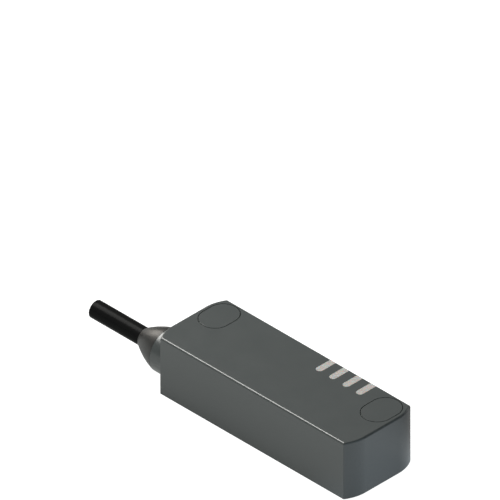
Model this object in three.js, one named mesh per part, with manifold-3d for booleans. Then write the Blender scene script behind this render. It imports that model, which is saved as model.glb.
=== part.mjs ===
// Flat, block-shaped proximity sensor with a moulded-on cable and two screw slots under caps.
// Units are millimetres. The origin is the centre of the mounting face, at the bottom.
// +X runs to the blind end, +Y to the edge with the light bars, +Z out of the cap side.
// The sensing face is the long side at -Y, and the cable leaves along -X.

import * as THREE from "three";
import { mergeVertices } from "three/addons/utils/BufferGeometryUtils.js";
import Module from "manifold-3d";

const wasm = await Module();
wasm.setup();

// ---------------------------------------------------------------- driving dimensions

const LENGTH = 72;
const WIDTH = 25;
const HEIGHT = 18;
const END_ARC_RADIUS = 11.3; // arcs that round both ends
const END_ARC_REACH = 6.3; // how far each arc reaches in from its long side
const TOP_FILLET = 1.2;
const BOTTOM_CHAMFER = 0.2;

const WALL = 2.0;
const ROOF = 1.8;
const RIM = 1.2; // wall beside the base cover
const COVER_THICKNESS = 1.55;
const COVER_SEAT = 1.7; // height of the ledge that the cover meets

const FIT = 0.15; // gap between flat neighbours
const ROUND_FIT = 0.2; // gap between round neighbours

const SLOT_X = 30.2; // screw slots, from the middle of the housing
const SLOT_Y = 5.55;
const SLOT_WIDTH = 4.6; // takes an M4 screw
const SLOT_TRAVEL = 3.1; // straight stretch of every oval on the slot's axis
const BUSHING_WALL = 1.1;
const POCKET_WIDTH = 9.2;
const POCKET_FLOOR = 8;
const FLANGE_THICKNESS = 1.2;
const TOWER_WALL = 1.1;
const CAP_THICKNESS = 3.2;
const CAP_EDGE = 0.15;

const LIGHT_COUNT = 4;
const LIGHT_FIRST_X = 5.6;
const LIGHT_PITCH = 5.0;
const LIGHT_WIDTH = 2.1;
const LIGHT_LENGTH = 6.35; // from the round end to the back face, and as much down the back
const LIGHT_FIT = 0.06;
const LIGHT_LIP = 0.3; // how far a light guide stands into the housing
const FOOT_DEPTH = 2.4;
const FOOT_Y = 8.4;

const CABLE_Y = -6.15;
const CABLE_Z = 9;
const CABLE_RADIUS = 2.65;
const CABLE_BORE = 2.72;
const CABLE_INNER_END = -28.6;
const CABLE_OUTER_END = -64.45;
const COLLAR_RADIUS = 6.35;
const COLLAR_LENGTH = 2.2;
const COLLAR_BORE = 4.6;
const COLLAR_BORE_END = -32.5;
const DOME_LENGTH = 7.8;
const DOME_TIP_RADIUS = 2.85;
const DOME_START_SLOPE = Math.tan(THREE.MathUtils.degToRad(14));
const SPIGOT_LENGTH = 3.2;
const COLLAR_FACE = -LENGTH / 2 - COLLAR_LENGTH;
const DOME_FACE = COLLAR_FACE - FIT;
const SPIGOT_END = DOME_FACE + SPIGOT_LENGTH;
const SEAL_LENGTH = 2;
const SEAL_START = SPIGOT_END + 2 * FIT;
const CLAMP_GAP = 0.5; // between the seal and the clamp
const CLAMP_LENGTH = 3.4;
const CLAMP_RADIUS = 3.8;

const BOARD_BOTTOM = 6.2;
const BOARD_THICKNESS = 1.2;
const BOARD_TOP = BOARD_BOTTOM + BOARD_THICKNESS;
const BOARD_HALF_LENGTH = 23.5;
const BOARD_FRONT = -6.2;
const BOARD_BACK = 10;
const SOLDER = 0.1;
const LED_WIDTH = 1.6;
const LED_DEPTH = 2;
const LED_HEIGHT = 0.9;
const ANTENNA_X = 4;
const ANTENNA_Z = 9;
const ANTENNA_FRONT = -10.3;
const ANTENNA_DEPTH = 3.6;
const BOBBIN_FLANGE = 0.6;
const BOBBIN_HEIGHT = 12;
const BOBBIN_STRAIGHT = 13; // straight stretch of every oval in the antenna, along X
const HUB_HEIGHT = 5;
const HUB_HOLE = 2.8;
const WINDING_GAP = 0.2;
const WINDING_HEIGHT = 10.6;
const LEAD_RADIUS = 0.25;
const LEAD_SPACING = 2;
const LEAD_TOP = 11.5;
const LEAD_CREST = 11.4; // height as it leaves the bobbin
const LEAD_BEND = 10; // height where it turns down to the board

const CORE_RADIUS = 0.45;
const CORE_PITCH = 1.05;
const PAD_PITCH = 2.0;
const PAD_FIRST_Y = -5;
const PAD_LIFT = 0.3; // wire ends stop this far above the board
const NEAR_PAD_X = -21.4;
const FAR_PAD_X = -17.6;
const CORE_START_GAP = 0.3;
const CORE_LEG = 1.5; // straight out of the jacket
const CORE_BEND_X = -24.2;
const CORE_HUMP = 0.35;
const CORE_LANDING = 1.1; // the turn down starts this far before the pad

const ARC_STEPS = 10; // facets in one end arc
const OVAL_STEPS = 20; // facets in half an oval
const FILLET_STEPS = 4;
const TURN_STEPS = 48; // facets round a turned piece
const DOME_STEPS = 12;
const CABLE_SIDES = 12;
const CABLE_STEPS = 3;
const WIRE_SIDES = 8;
const CORE_STEPS = 14;
const LEAD_STEPS = 10;
const OVERCUT = 1; // how far a cutting tool stands out of what it cuts

// ---------------------------------------------------------------- finishes

function finish(color, roughness, metalness = 0) {
  return new THREE.MeshStandardMaterial({ color, roughness, metalness });
}

const HOUSING_PLASTIC = finish(0x545857, 0.6);
const RELIEF_PLASTIC = finish(0x4a4a48, 0.4);
const JACKET_PVC = finish(0x18181a, 0.5);
const LIGHT_MILK = finish(0xb3b1aa, 0.35);
const SEAL_RUBBER = finish(0x222222, 0.8);
const STEEL = finish(0xb8babb, 0.35, 1);
const BRASS = finish(0xb08d4c, 0.35, 1);
const COPPER = finish(0xb4673d, 0.35, 1);
const BOARD_GREEN = finish(0x1f5b3a, 0.5);
const CHIP_BLACK = finish(0x1c1c1e, 0.6);
const CAPACITOR_YELLOW = finish(0xc79a3b, 0.6);
const LED_WHITE = finish(0xe6e4d8, 0.4);
const BOBBIN_PLASTIC = finish(0xd8d2c2, 0.6);
const FERRITE = finish(0x2b2b2c, 0.7);
const RESIN = finish(0x30322f, 0.5);

const CORE_COLOURS = {
  white: 0xe4e2dc,
  brown: 0x5e3a24,
  green: 0x2c7a43,
  yellow: 0xd9c02c,
  grey: 0x83868a,
  pink: 0xd98ea0,
  blue: 0x28509a,
  red: 0xb02a2a,
};

// ---------------------------------------------------------------- outlines

// Housing outline seen from above, shrunk by inset: straight long sides, flat ends and arcs between.
function housingOutline(inset) {
  const radius = END_ARC_RADIUS - inset;
  const centreX = LENGTH / 2 - END_ARC_RADIUS;
  const centreY = WIDTH / 2 - END_ARC_REACH;
  const sweep = Math.asin((END_ARC_REACH - inset) / radius);
  const corner = [];
  for (let i = 0; i <= ARC_STEPS; i += 1) {
    const angle = (sweep * i) / ARC_STEPS;
    const x = centreX + radius * Math.cos(angle);
    const y = centreY + radius * Math.sin(angle);
    corner.push(new THREE.Vector2(x, y));
  }
  const reversed = [...corner].reverse();
  const flip = (points, sx, sy) => points.map((p) => new THREE.Vector2(p.x * sx, p.y * sy));
  return [
    ...corner,
    ...flip(reversed, -1, 1),
    ...flip(corner, -1, -1),
    ...flip(reversed, 1, -1),
  ];
}

// Oval of two half circles with a straight stretch between them, along Y.
function ovalOutline(width, straight) {
  const points = [];
  for (const side of [1, -1]) {
    for (let i = 0; i <= OVAL_STEPS; i += 1) {
      const angle = (Math.PI * i) / OVAL_STEPS;
      const x = (side * width * Math.cos(angle)) / 2;
      const y = side * (straight / 2 + (width * Math.sin(angle)) / 2);
      points.push(new THREE.Vector2(x, y));
    }
  }
  return points;
}

function rectangleOutline(lowX, lowY, highX, highY) {
  const corners = [[lowX, lowY], [highX, lowY], [highX, highY], [lowX, highY]];
  return corners.map(([x, y]) => new THREE.Vector2(x, y));
}

// ---------------------------------------------------------------- solids

// Closed solid through a stack of convex outlines with equal point counts.
function loft(rings) {
  const count = rings[0].outline.length;
  const positions = rings.flatMap(({ outline, z }) => outline.flatMap((p) => [p.x, p.y, z]));
  const top = (rings.length - 1) * count;
  const index = [];
  for (let start = 0; start < top; start += count) {
    for (let i = 0; i < count; i += 1) {
      const a = start + i;
      const b = start + ((i + 1) % count);
      index.push(a, b, b + count, a, b + count, a + count);
    }
  }
  for (let i = 1; i < count - 1; i += 1) {
    index.push(0, i + 1, i);
    index.push(top, top + i, top + i + 1);
  }
  const geometry = new THREE.BufferGeometry();
  geometry.setAttribute("position", new THREE.Float32BufferAttribute(positions, 3));
  geometry.setIndex(index);
  return geometry;
}

function prism(outline, lowZ, highZ) {
  return loft([{ outline, z: lowZ }, { outline, z: highZ }]);
}

function box(sizeX, sizeY, sizeZ) {
  return new THREE.BoxGeometry(sizeX, sizeY, sizeZ);
}

// Piece turned about the X axis. The profile lists [x, radius] and closes on itself.
function turned(profile) {
  const points = profile.map(([x, radius]) => new THREE.Vector2(radius, x));
  if (THREE.ShapeUtils.area(points) < 0) points.reverse();
  points.push(points[0].clone());
  return new THREE.LatheGeometry(points, TURN_STEPS).rotateZ(-Math.PI / 2);
}

function ringProfile(lowX, highX, innerRadius, outerRadius) {
  return [[lowX, innerRadius], [highX, innerRadius], [highX, outerRadius], [lowX, outerRadius]];
}

// Round tube along a smooth curve through the given points.
function tube(points, radius, sides, steps) {
  const section = new THREE.Shape();
  for (let i = 0; i < sides; i += 1) {
    const angle = (2 * Math.PI * i) / sides;
    const x = radius * Math.cos(angle);
    const y = radius * Math.sin(angle);
    if (i === 0) section.moveTo(x, y);
    else section.lineTo(x, y);
  }
  const path = new THREE.CatmullRomCurve3(points);
  return new THREE.ExtrudeGeometry(section, { steps, bevelEnabled: false, extrudePath: path });
}

function solid(geometry) {
  const bare = geometry.clone();
  bare.deleteAttribute("normal");
  bare.deleteAttribute("uv");
  const merged = mergeVertices(bare);
  const vertProperties = new Float32Array(merged.attributes.position.array);
  const triVerts = new Uint32Array(merged.index.array);
  return new wasm.Manifold(new wasm.Mesh({ numProp: 3, vertProperties, triVerts }));
}

function geometryOf(manifold) {
  const mesh = manifold.getMesh();
  const geometry = new THREE.BufferGeometry();
  geometry.setAttribute("position", new THREE.BufferAttribute(mesh.vertProperties, 3));
  geometry.setIndex(new THREE.BufferAttribute(mesh.triVerts, 1));
  geometry.computeVertexNormals();
  return geometry;
}

function add(group, name, geometry, material, x = 0, y = 0, z = 0) {
  const mesh = new THREE.Mesh(geometry, material);
  mesh.name = name;
  mesh.position.set(x, y, z);
  group.add(mesh);
}

// ---------------------------------------------------------------- housing

function outerBlock() {
  const rings = [
    { outline: housingOutline(BOTTOM_CHAMFER), z: 0 },
    { outline: housingOutline(0), z: BOTTOM_CHAMFER },
  ];
  for (let i = 0; i <= FILLET_STEPS; i += 1) {
    const angle = (Math.PI / 2) * (i / FILLET_STEPS);
    const inset = TOP_FILLET * (1 - Math.cos(angle));
    const z = HEIGHT - TOP_FILLET * (1 - Math.sin(angle));
    rings.push({ outline: housingOutline(inset), z });
  }
  return solid(loft(rings));
}

// Light guide, widened by clearance where it serves as the tool that cuts its seat.
// It fills a bar in the roof and a bar down the back wall, and its foot reaches to the LED.
function lightGuideSolid(clearance) {
  const beyond = 3 * OVERCUT;
  const width = LIGHT_WIDTH + 2 * clearance;
  const reach = LIGHT_LENGTH + clearance;
  const bar = ovalOutline(width, reach + beyond - width);
  const middle = (beyond - reach) / 2;
  const roofDepth = ROOF + LIGHT_LIP;
  const wallDepth = WALL + LIGHT_LIP;
  const roofBar = solid(prism(bar, -roofDepth, beyond)).translate([0, WIDTH / 2 + middle, HEIGHT]);
  const wallBar = solid(prism(bar, -beyond, wallDepth))
    .rotate([90, 0, 0])
    .translate([0, WIDTH / 2, HEIGHT + middle]);
  return roofBar.add(wallBar);
}

function lightGuide() {
  const footBottom = BOARD_TOP + SOLDER + LED_HEIGHT + FIT;
  const footTop = HEIGHT - ROOF;
  const foot = solid(box(LIGHT_WIDTH, FOOT_DEPTH, footTop - footBottom));
  const placed = foot.translate([0, FOOT_Y, (footTop + footBottom) / 2]);
  return geometryOf(lightGuideSolid(0).intersect(outerBlock()).add(placed));
}

function lightX(index) {
  return LIGHT_FIRST_X + index * LIGHT_PITCH;
}

function housingShell() {
  const collar = ringProfile(COLLAR_FACE, -LENGTH / 2 + WALL, 0, COLLAR_RADIUS);
  const bore = ringProfile(2 * COLLAR_FACE, COLLAR_BORE_END, 0, COLLAR_BORE);
  const atCable = [0, CABLE_Y, CABLE_Z];

  let shell = outerBlock()
    .add(solid(turned(collar)).translate(atCable))
    .subtract(solid(prism(housingOutline(WALL), COVER_SEAT, HEIGHT - ROOF)))
    .subtract(solid(prism(housingOutline(RIM), -OVERCUT, COVER_SEAT)));

  const inside = solid(prism(housingOutline(WALL / 2), COVER_THICKNESS + FIT, HEIGHT - ROOF / 2));
  const towerOutline = ovalOutline(POCKET_WIDTH + 2 * TOWER_WALL, SLOT_TRAVEL);
  const pocketOutline = ovalOutline(POCKET_WIDTH, SLOT_TRAVEL);
  const boreOutline = ovalOutline(SLOT_WIDTH + 2 * (BUSHING_WALL + FIT), SLOT_TRAVEL);
  for (const side of [-1, 1]) {
    const place = [side * SLOT_X, SLOT_Y, 0];
    const tower = solid(prism(towerOutline, 0, HEIGHT)).translate(place).intersect(inside);
    const pocket = solid(prism(pocketOutline, POCKET_FLOOR, HEIGHT + OVERCUT)).translate(place);
    const bushingBore = solid(prism(boreOutline, -OVERCUT, HEIGHT)).translate(place);
    shell = shell.add(tower).subtract(pocket).subtract(bushingBore);
  }
  for (let i = 0; i < LIGHT_COUNT; i += 1) {
    shell = shell.subtract(lightGuideSolid(LIGHT_FIT).translate([lightX(i), 0, 0]));
  }
  return geometryOf(shell.subtract(solid(turned(bore)).translate(atCable)));
}

function baseCover() {
  const plate = solid(prism(housingOutline(RIM + FIT), 0, COVER_THICKNESS));
  const holeOutline = ovalOutline(SLOT_WIDTH + 2 * (BUSHING_WALL + ROUND_FIT), SLOT_TRAVEL);
  const hole = solid(prism(holeOutline, -OVERCUT, HEIGHT));
  const left = hole.translate([-SLOT_X, SLOT_Y, 0]);
  const right = hole.translate([SLOT_X, SLOT_Y, 0]);
  return geometryOf(plate.subtract(left).subtract(right));
}

// Metal bushing that takes the screw's load: an oval sleeve with a flange in the pocket.
function slotBushing() {
  const flangeBottom = POCKET_FLOOR + FIT;
  const sleeveOutline = ovalOutline(SLOT_WIDTH + 2 * BUSHING_WALL, SLOT_TRAVEL);
  const flangeOutline = ovalOutline(POCKET_WIDTH - 4 * FIT, SLOT_TRAVEL);
  const sleeve = solid(prism(sleeveOutline, 0, flangeBottom + FLANGE_THICKNESS / 2));
  const flange = solid(prism(flangeOutline, flangeBottom, flangeBottom + FLANGE_THICKNESS));
  const slot = solid(prism(ovalOutline(SLOT_WIDTH, SLOT_TRAVEL), -OVERCUT, HEIGHT));
  return geometryOf(sleeve.add(flange).subtract(slot));
}

function screwCap() {
  const width = POCKET_WIDTH - 2 * ROUND_FIT;
  const whole = ovalOutline(width, SLOT_TRAVEL);
  const drawnIn = ovalOutline(width - 2 * CAP_EDGE, SLOT_TRAVEL);
  return loft([
    { outline: drawnIn, z: HEIGHT - CAP_THICKNESS },
    { outline: whole, z: HEIGHT - CAP_THICKNESS + CAP_EDGE },
    { outline: whole, z: HEIGHT - CAP_EDGE },
    { outline: drawnIn, z: HEIGHT },
  ]);
}

// ---------------------------------------------------------------- cable entry

// Bend relief: an ogive that narrows from the collar to the cable, with a spigot in the collar.
function strainRelief() {
  const bend = COLLAR_RADIUS - DOME_TIP_RADIUS - DOME_LENGTH * DOME_START_SLOPE;
  const spigotRadius = COLLAR_BORE - ROUND_FIT;
  const profile = [
    [DOME_FACE - DOME_LENGTH, CABLE_BORE],
    [SPIGOT_END, CABLE_BORE],
    [SPIGOT_END, spigotRadius],
    [DOME_FACE, spigotRadius],
  ];
  for (let i = 0; i <= DOME_STEPS; i += 1) {
    const t = i / DOME_STEPS;
    const radius = COLLAR_RADIUS - DOME_LENGTH * DOME_START_SLOPE * t - bend * t * t;
    profile.push([DOME_FACE - DOME_LENGTH * t, radius]);
  }
  return turned(profile);
}

function cableSeal() {
  const end = SEAL_START + SEAL_LENGTH;
  return turned(ringProfile(SEAL_START, end, CABLE_BORE, COLLAR_BORE - ROUND_FIT));
}

function cableClamp() {
  const start = SEAL_START + SEAL_LENGTH + CLAMP_GAP;
  return turned(ringProfile(start, start + CLAMP_LENGTH, CABLE_BORE, CLAMP_RADIUS));
}

function cableJacket() {
  const ends = [CABLE_OUTER_END, CABLE_INNER_END].map((x) => new THREE.Vector3(x, 0, 0));
  return tube(ends, CABLE_RADIUS, CABLE_SIDES, CABLE_STEPS);
}

// Insulated core, from the jacket's inner end to its pad. The cores leave in two rows of four:
// the lower row lands on the near pads and the upper row passes over it to the far ones.
function cableCore(index) {
  const column = index % 4;
  const upper = index >= 4;
  const startY = CABLE_Y + (column - 1.5) * CORE_PITCH;
  const startZ = CABLE_Z + (upper ? 0.5 : -0.5) * CORE_PITCH;
  const padX = upper ? FAR_PAD_X : NEAR_PAD_X;
  const padY = PAD_FIRST_Y + column * PAD_PITCH;
  const rise = upper ? 1.2 : 0.2;
  const startX = CABLE_INNER_END + CORE_START_GAP;
  const points = [
    new THREE.Vector3(startX, startY, startZ),
    new THREE.Vector3(startX + CORE_LEG, startY, startZ),
    new THREE.Vector3(CORE_BEND_X, (startY + padY) / 2, CABLE_Z + rise + CORE_HUMP),
    new THREE.Vector3(padX - CORE_LANDING, padY, CABLE_Z + rise),
    new THREE.Vector3(padX, padY, BOARD_TOP + PAD_LIFT),
  ];
  return tube(points, CORE_RADIUS, WIRE_SIDES, CORE_STEPS);
}

// ---------------------------------------------------------------- electronics

// Oval disc or ring whose axis runs along Y, from depth lowY to highY behind the antenna's front.
function antennaOval(height, lowY, highY) {
  return solid(prism(ovalOutline(height, BOBBIN_STRAIGHT), lowY, highY))
    .rotate([0, 0, 90])
    .rotate([-90, 0, 0]);
}

function antennaBobbin() {
  const front = antennaOval(BOBBIN_HEIGHT, 0, BOBBIN_FLANGE);
  const hub = antennaOval(HUB_HEIGHT, BOBBIN_FLANGE / 2, ANTENNA_DEPTH - BOBBIN_FLANGE / 2);
  const rear = antennaOval(BOBBIN_HEIGHT, ANTENNA_DEPTH - BOBBIN_FLANGE, ANTENNA_DEPTH);
  const hole = antennaOval(HUB_HOLE, -OVERCUT, ANTENNA_DEPTH + OVERCUT);
  return geometryOf(front.add(hub).add(rear).subtract(hole));
}

function antennaWinding() {
  const low = BOBBIN_FLANGE + WINDING_GAP;
  const high = ANTENNA_DEPTH - BOBBIN_FLANGE - WINDING_GAP;
  const outside = antennaOval(WINDING_HEIGHT, low, high);
  const inside = antennaOval(HUB_HEIGHT + 2 * WINDING_GAP, low - OVERCUT, high + OVERCUT);
  return geometryOf(outside.subtract(inside));
}

function antennaCore() {
  return geometryOf(antennaOval(HUB_HOLE - 2 * WINDING_GAP, WINDING_GAP, ANTENNA_DEPTH - WINDING_GAP));
}

// Winding end, from the rear of the bobbin over the board's edge and down to its pad.
function antennaLead() {
  const startY = ANTENNA_FRONT + ANTENNA_DEPTH + FIT;
  const points = [
    new THREE.Vector3(0, startY, LEAD_TOP),
    new THREE.Vector3(0, startY + 0.6, LEAD_CREST),
    new THREE.Vector3(0, BOARD_FRONT + 1.5, LEAD_BEND),
    new THREE.Vector3(0, BOARD_FRONT + 1.8, BOARD_TOP + PAD_LIFT),
  ];
  return tube(points, LEAD_RADIUS, WIRE_SIDES, LEAD_STEPS);
}

// Parts soldered on the board: name, size [x, y, z], place [x, y] and finish.
const BOARD_PARTS = [
  ["controller_chip", [7, 7, 1.2], [2, 1.6], CHIP_BLACK],
  ["transceiver_chip", [5, 4, 1.1], [13.5, -3.4], CHIP_BLACK],
  ["output_driver_1", [3.2, 3, 1.1], [-10.5, -3.2], CHIP_BLACK],
  ["output_driver_2", [3.2, 3, 1.1], [-10.5, 1.2], CHIP_BLACK],
  ["voltage_regulator", [6.5, 3.5, 1.7], [-11, 6.8], CHIP_BLACK],
  ["suppressor_diode", [4.4, 2.8, 2.2], [-19.5, 7.6], CHIP_BLACK],
  ["storage_capacitor", [7.2, 4.2, 2.8], [18.6, 2.6], CAPACITOR_YELLOW],
  ["crystal", [3.2, 2.5, 0.8], [9.4, 2.2], STEEL],
];

// ---------------------------------------------------------------- assembly

const sensor = new THREE.Group();

const housing = new THREE.Group();
add(housing, "housing_shell", housingShell(), HOUSING_PLASTIC);
add(housing, "base_cover", baseCover(), HOUSING_PLASTIC);
const bushingGeometry = slotBushing();
const capGeometry = screwCap();
for (const [end, side] of [["cable_end", -1], ["blind_end", 1]]) {
  add(housing, `slot_bushing_${end}`, bushingGeometry, STEEL, side * SLOT_X, SLOT_Y);
  add(housing, `screw_cap_${end}`, capGeometry, HOUSING_PLASTIC, side * SLOT_X, SLOT_Y);
}
const guideGeometry = lightGuide();
for (let i = 0; i < LIGHT_COUNT; i += 1) {
  add(housing, `light_guide_${i + 1}`, guideGeometry, LIGHT_MILK, lightX(i));
}

const cableEntry = new THREE.Group();
cableEntry.position.set(0, CABLE_Y, CABLE_Z);
add(cableEntry, "strain_relief", strainRelief(), RELIEF_PLASTIC);
add(cableEntry, "cable_seal", cableSeal(), SEAL_RUBBER);
add(cableEntry, "cable_clamp", cableClamp(), BRASS);
add(cableEntry, "cable_jacket", cableJacket(), JACKET_PVC);

const electronics = new THREE.Group();
Object.entries(CORE_COLOURS).forEach(([colour, value], index) => {
  add(electronics, `core_${colour}`, cableCore(index), finish(value, 0.5));
});

const boardOutline = rectangleOutline(-BOARD_HALF_LENGTH, BOARD_FRONT, BOARD_HALF_LENGTH, BOARD_BACK);
add(electronics, "circuit_board", prism(boardOutline, BOARD_BOTTOM, BOARD_TOP), BOARD_GREEN);
add(electronics, "potting_slab", prism(boardOutline, COVER_THICKNESS + FIT, BOARD_BOTTOM - FIT), RESIN);
for (const [name, [sizeX, sizeY, sizeZ], [x, y], material] of BOARD_PARTS) {
  add(electronics, name, box(sizeX, sizeY, sizeZ), material, x, y, BOARD_TOP + SOLDER + sizeZ / 2);
}
for (let i = 0; i < LIGHT_COUNT; i += 1) {
  const z = BOARD_TOP + SOLDER + LED_HEIGHT / 2;
  const led = box(LED_WIDTH, LED_DEPTH, LED_HEIGHT);
  add(electronics, `status_led_${i + 1}`, led, LED_WHITE, lightX(i), FOOT_Y, z);
}

const antenna = new THREE.Group();
antenna.position.set(ANTENNA_X, ANTENNA_FRONT, ANTENNA_Z);
add(antenna, "antenna_bobbin", antennaBobbin(), BOBBIN_PLASTIC);
add(antenna, "antenna_winding", antennaWinding(), COPPER);
add(antenna, "antenna_core", antennaCore(), FERRITE);
const leadGeometry = antennaLead();
add(electronics, "antenna_lead_start", leadGeometry, COPPER, ANTENNA_X - LEAD_SPACING / 2);
add(electronics, "antenna_lead_finish", leadGeometry, COPPER, ANTENNA_X + LEAD_SPACING / 2);

sensor.add(housing, cableEntry, electronics, antenna);

export default sensor;
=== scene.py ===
"""Block-shaped proximity sensor on a pale floor: housing, cable entry, cable and electronics."""

import logging
import math
from dataclasses import dataclass, replace
from enum import Enum
from typing import Callable, Iterable, Sequence

import bmesh
import bpy
from mathutils import Matrix, Vector


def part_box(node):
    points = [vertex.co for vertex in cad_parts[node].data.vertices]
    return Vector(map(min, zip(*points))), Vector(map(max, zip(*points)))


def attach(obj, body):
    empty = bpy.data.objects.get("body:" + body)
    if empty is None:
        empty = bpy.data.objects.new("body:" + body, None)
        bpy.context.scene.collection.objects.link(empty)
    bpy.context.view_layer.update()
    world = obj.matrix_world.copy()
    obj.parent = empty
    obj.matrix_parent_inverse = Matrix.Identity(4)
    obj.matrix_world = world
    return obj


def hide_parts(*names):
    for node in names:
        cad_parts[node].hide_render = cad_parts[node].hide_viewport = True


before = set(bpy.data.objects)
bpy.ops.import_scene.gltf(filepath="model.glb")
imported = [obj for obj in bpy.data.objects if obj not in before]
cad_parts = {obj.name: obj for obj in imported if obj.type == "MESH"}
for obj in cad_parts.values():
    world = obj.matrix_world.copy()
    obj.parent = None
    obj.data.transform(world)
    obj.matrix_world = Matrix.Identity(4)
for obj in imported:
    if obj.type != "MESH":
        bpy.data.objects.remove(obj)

logging.basicConfig(level=logging.INFO, format="%(message)s")
LOG = logging.getLogger("sensor")

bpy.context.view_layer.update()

MM = 0.001
X_AXIS = Vector((1, 0, 0))
Y_AXIS = Vector((0, 1, 0))
Z_AXIS = Vector((0, 0, 1))
ORIGIN = Vector((0, 0, 0))
CORE_COLOURS = ("white", "brown", "green", "yellow", "grey", "pink", "blue", "red")
CORES_IN_ROW = 4
ENDS = ("cable_end", "blind_end")
LIGHT_COUNT = 4
TOUCHING = 1e-6
OVERCUT = 1 * MM


# ------------------------------------------------------------------ finishes


class Pattern(Enum):
    """How the fine surface of a finish runs."""

    GRAIN = (1.0, 1.0, 1.0)
    DRAWN = (0.04, 1.0, 1.0)
    TURNED = (1.0, 0.05, 0.05)
    MILLED = (1.0, 1.0, 0.06)


@dataclass(frozen=True)
class Finish:
    """One material: the slot that names it, its colours and its fine surface.

    Lengths are in metres. Mottle is the slow drift of colour over the piece, and grain the
    fine relief that breaks up its shine.
    """

    slot: str
    colour: tuple[float, float, float]
    drift: tuple[float, float, float]
    roughness: float
    roughness_spread: float = 0.08
    metallic: float = 0.0
    specular: float = 0.5
    coat: float = 0.0
    subsurface: float = 0.0
    mottle_size: float = 6 * MM
    grain_size: float = 0.2 * MM
    grain_height: float = 0.004 * MM
    pattern: Pattern = Pattern.GRAIN

    def material(self) -> bpy.types.Material:
        """Build the material once, and give the same one to every piece that asks.

        Returns:
            The node material of this finish.
        """
        name = f"{self.slot}_finish"
        if name in bpy.data.materials:
            return bpy.data.materials[name]
        material = bpy.data.materials.new(name)
        material.use_nodes = True
        tree = material.node_tree
        shader = tree.nodes["Principled BSDF"]
        shader.inputs["Metallic"].default_value = self.metallic
        shader.inputs["Specular IOR Level"].default_value = self.specular
        shader.inputs["Coat Weight"].default_value = self.coat
        shader.inputs["Coat Roughness"].default_value = 0.2
        shader.inputs["Subsurface Weight"].default_value = self.subsurface
        shader.inputs["Subsurface Scale"].default_value = 1.5 * MM
        place = tree.nodes.new("ShaderNodeTexCoord").outputs["Object"]
        mottle = self._noise(tree, place, self.mottle_size, (1.0, 1.0, 1.0), detail=4.0)
        grain = self._noise(tree, place, self.grain_size, self.pattern.value, detail=3.0)

        colours = tree.nodes.new("ShaderNodeMix")
        colours.data_type = "RGBA"
        colours.inputs["A"].default_value = (*self.colour, 1.0)
        colours.inputs["B"].default_value = (*self.drift, 1.0)
        blend = tree.nodes.new("ShaderNodeMath")
        blend.operation = "MULTIPLY"
        tree.links.new(mottle, blend.inputs[0])
        tree.links.new(grain, blend.inputs[1])
        tree.links.new(blend.outputs["Value"], colours.inputs["Factor"])
        tree.links.new(colours.outputs["Result"], shader.inputs["Base Color"])

        gloss = tree.nodes.new("ShaderNodeMapRange")
        gloss.inputs["To Min"].default_value = self.roughness - self.roughness_spread
        gloss.inputs["To Max"].default_value = self.roughness + self.roughness_spread
        tree.links.new(mottle, gloss.inputs["Value"])
        tree.links.new(gloss.outputs["Result"], shader.inputs["Roughness"])

        bump = tree.nodes.new("ShaderNodeBump")
        bump.inputs["Strength"].default_value = 1.0
        bump.inputs["Distance"].default_value = self.grain_height
        tree.links.new(grain, bump.inputs["Height"])
        tree.links.new(bump.outputs["Normal"], shader.inputs["Normal"])
        return material

    @staticmethod
    def _noise(
        tree: bpy.types.NodeTree,
        place: bpy.types.NodeSocket,
        size: float,
        stretch: Sequence[float],
        detail: float,
    ) -> bpy.types.NodeSocket:
        """Add a noise pattern whose blotches are about size across, and return its value.

        Args:
            tree: The node tree to add to.
            place: The position on the piece.
            size: The size of a blotch, in metres.
            stretch: Scale along X, Y and Z; a small one draws the blotches out.
            detail: How many finer layers there are.

        Returns:
            The socket with the pattern's value.
        """
        mapping = tree.nodes.new("ShaderNodeMapping")
        mapping.inputs["Scale"].default_value = stretch
        pattern = tree.nodes.new("ShaderNodeTexNoise")
        pattern.inputs["Scale"].default_value = 1 / size
        pattern.inputs["Detail"].default_value = detail
        tree.links.new(place, mapping.inputs["Vector"])
        tree.links.new(mapping.outputs["Vector"], pattern.inputs["Vector"])
        return pattern.outputs["Fac"]


HOUSING_PLASTIC = Finish(
    "housing_plastic", (0.0235, 0.027, 0.0264), (0.0282, 0.0318, 0.031), roughness=0.3, roughness_spread=0.04
)
CAP_PLASTIC = replace(HOUSING_PLASTIC, slot="cap_plastic")
COVER_PLASTIC = Finish(
    "cover_plastic", (0.028, 0.031, 0.030), (0.037, 0.040, 0.039), roughness=0.45, grain_height=0.006 * MM
)
RELIEF_PLASTIC = Finish(
    "relief_plastic", (0.0065, 0.0058, 0.005), (0.009, 0.0082, 0.007), roughness=0.36, specular=0.28
)
JACKET_PVC = Finish(
    "jacket_pvc",
    (0.0035, 0.0035, 0.0035),
    (0.007, 0.007, 0.007),
    roughness=0.27,
    roughness_spread=0.04,
    specular=0.02,
    pattern=Pattern.DRAWN,
)
LIGHT_MILK = Finish(
    "light_guide_plastic",
    (0.258, 0.244, 0.233),
    (0.288, 0.274, 0.26),
    roughness=0.3,
    subsurface=0.25,
    mottle_size=1.5 * MM,
    grain_height=0.001 * MM,
)
SEAL_RUBBER = Finish("seal_rubber", (0.014, 0.014, 0.014), (0.022, 0.021, 0.02), roughness=0.75)
CLAMP_BRASS = Finish(
    "clamp_brass", (0.62, 0.42, 0.16), (0.5, 0.33, 0.12), roughness=0.3, metallic=1, pattern=Pattern.TURNED
)
BUSHING_STEEL = Finish(
    "bushing_steel",
    (0.58, 0.58, 0.59),
    (0.46, 0.46, 0.47),
    roughness=0.3,
    metallic=1,
    pattern=Pattern.MILLED,
)
BOARD_LAMINATE = Finish("board_laminate", (0.012, 0.12, 0.05), (0.02, 0.17, 0.07), roughness=0.35, coat=0.3)
POTTING_RESIN = Finish("potting_resin", (0.02, 0.024, 0.02), (0.035, 0.04, 0.033), roughness=0.25)
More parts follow.
